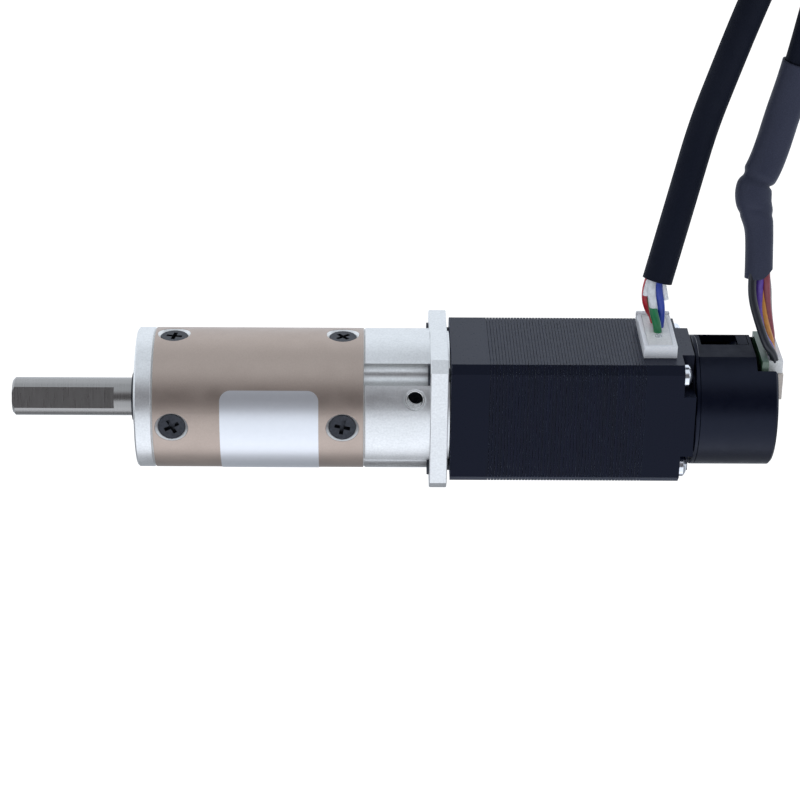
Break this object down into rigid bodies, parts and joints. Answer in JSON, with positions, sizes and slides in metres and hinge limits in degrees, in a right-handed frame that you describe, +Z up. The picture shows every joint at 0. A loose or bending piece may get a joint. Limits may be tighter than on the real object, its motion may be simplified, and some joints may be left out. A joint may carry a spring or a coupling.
{
  "type": "geared stepper motor",
  "caption": "Square stepper motor with a round planetary gearbox, a D-cut output shaft, and a round rear encoder, with a lead for each.",
  "frame": {"origin": "centre of the gearbox's front mounting face, on the output shaft's axis", "axes": "+X along the shaft axis from the output shaft to the encoder, +Y towards the side with the connectors, +Z up with the motor lying on its side"},
  "size_m": [0.1285, 0.1361, 0.0221],
  "materials": {
    "plate_alloy": "satin turned, silver anodised",
    "tube_alloy": "satin, warm grey anodised",
    "black_screw": "black oxide steel",
    "bright_screw": "nickel-plated steel",
    "label_film": "white film",
    "bearing_steel": "ground bearing steel",
    "gear_steel": "ground gear steel",
    "shaft_steel": "ground stainless steel",
    "spring_steel": "black spring steel",
    "thrust_steel": "hard shim steel",
    "cap_alloy": "cast aluminium, painted black",
    "lamination": "stacked electrical steel, black varnish",
    "insulator": "moulded nylon",
    "copper_wire": "enamelled copper wire",
    "rotor_steel": "stamped electrical steel",
    "magnet": "sintered magnet",
    "header_plastic": "natural nylon",
    "plug_plastic": "white nylon",
    "header_beige": "beige nylon",
    "encoder_plastic": "black moulded nylon",
    "board": "green solder mask",
    "chip": "black epoxy",
    "brass_holder": "turned brass",
    "wire_insulation": "coloured PVC insulation",
    "lead_jacket": "black soft PVC sleeve",
    "shrink_sleeve": "black heat-shrink",
    "tie_plastic": "black nylon"
  },
  "bodies": {
    "housing": {"front_plate": "plate_alloy", "gear_tube": "tube_alloy", "adapter_flange": "plate_alloy", "front_tube_screws": "black_screw", "rear_tube_screws": "black_screw", "label": "label_film", "gearbox_bearing_outer_races": "bearing_steel", "output_bearing_spacer": "thrust_steel", "thrust_plate": "thrust_steel", "flange_screws": "black_screw", "motor_front_cap": "cap_alloy", "stator_stack": "lamination", "stator_insulators": "insulator", "stator_windings": "copper_wire", "motor_rear_cap": "cap_alloy", "case_screws": "bright_screw", "motor_bearing_outer_races": "bearing_steel", "wave_washer": "thrust_steel", "motor_header": "header_plastic", "motor_plug": "plug_plastic", "motor_wires": "wire_insulation", "motor_lead": "lead_jacket", "motor_lead_coil": "lead_jacket", "motor_far_plug": "plug_plastic", "encoder_base": "encoder_plastic", "encoder_base_screws": "bright_screw", "encoder_board": "board", "encoder_sensor": "chip", "encoder_header": "header_beige", "encoder_plug": "plug_plastic", "encoder_wires": "wire_insulation", "encoder_sleeve": "shrink_sleeve", "encoder_lead": "lead_jacket", "encoder_lead_coil": "lead_jacket", "lead_ties": "tie_plastic", "encoder_far_plug": "plug_plastic", "encoder_cover": "encoder_plastic"},
    "rotor": {"motor_shaft": "shaft_steel", "rotor_core_front": "rotor_steel", "rotor_magnet": "magnet", "rotor_core_rear": "rotor_steel", "motor_bearing_inner_races": "bearing_steel", "input_pinion": "gear_steel", "pinion_set_screw": "black_screw", "input_bearing_inner_race": "bearing_steel", "magnet_holder": "brass_holder", "encoder_magnet": "magnet"},
    "first_stage": {"first_carrier": "gear_steel", "first_planet_pins": "bearing_steel"},
    "first_planet_a": {"first_planet_a": "gear_steel"},
    "first_planet_b": {"first_planet_b": "gear_steel"},
    "first_planet_c": {"first_planet_c": "gear_steel"},
    "output": {"output_shaft": "shaft_steel", "second_planet_pins": "bearing_steel", "output_bearing_inner_races": "bearing_steel", "retaining_ring": "spring_steel"},
    "second_planet_a": {"second_planet_a": "gear_steel"},
    "second_planet_b": {"second_planet_b": "gear_steel"},
    "second_planet_c": {"second_planet_c": "gear_steel"}
  },
  "joints": [
    {"name": "output_turn", "type": "hinge", "parent": "housing", "child": "output", "pos_m": [0, 0, 0], "axis": [1, 0, 0], "continuous": true},
    {"name": "first_stage_turn", "type": "hinge", "parent": "housing", "child": "first_stage", "pos_m": [0.0194, 0, 0], "axis": [1, 0, 0], "continuous": true},
    {"name": "rotor_turn", "type": "hinge", "parent": "housing", "child": "rotor", "pos_m": [0.0665, 0, 0], "axis": [1, 0, 0], "continuous": true},
    {"name": "second_planet_a_turn", "type": "hinge", "parent": "output", "child": "second_planet_a", "pos_m": [0.0153, 0, 0.0054], "axis": [1, 0, 0], "continuous": true},
    {"name": "second_planet_b_turn", "type": "hinge", "parent": "output", "child": "second_planet_b", "pos_m": [0.0153, -0.00468, -0.0027], "axis": [1, 0, 0], "continuous": true},
    {"name": "second_planet_c_turn", "type": "hinge", "parent": "output", "child": "second_planet_c", "pos_m": [0.0153, 0.00468, -0.0027], "axis": [1, 0, 0], "continuous": true},
    {"name": "first_planet_a_turn", "type": "hinge", "parent": "first_stage", "child": "first_planet_a", "pos_m": [0.02305, 0, 0.0054], "axis": [1, 0, 0], "continuous": true},
    {"name": "first_planet_b_turn", "type": "hinge", "parent": "first_stage", "child": "first_planet_b", "pos_m": [0.02305, -0.00468, -0.0027], "axis": [1, 0, 0], "continuous": true},
    {"name": "first_planet_c_turn", "type": "hinge", "parent": "first_stage", "child": "first_planet_c", "pos_m": [0.02305, 0.00468, -0.0027], "axis": [1, 0, 0], "continuous": true}
  ],
  "couplings": [
    {"joint": "output_turn", "follows": "rotor_turn", "ratio": 0.049383},
    {"joint": "first_stage_turn", "follows": "rotor_turn", "ratio": 0.22222},
    {"joint": "second_planet_a_turn", "follows": "rotor_turn", "ratio": -0.13827},
    {"joint": "second_planet_b_turn", "follows": "rotor_turn", "ratio": -0.13827},
    {"joint": "second_planet_c_turn", "follows": "rotor_turn", "ratio": -0.13827},
    {"joint": "first_planet_a_turn", "follows": "rotor_turn", "ratio": -0.62222},
    {"joint": "first_planet_b_turn", "follows": "rotor_turn", "ratio": -0.62222},
    {"joint": "first_planet_c_turn", "follows": "rotor_turn", "ratio": -0.62222}
  ]
}
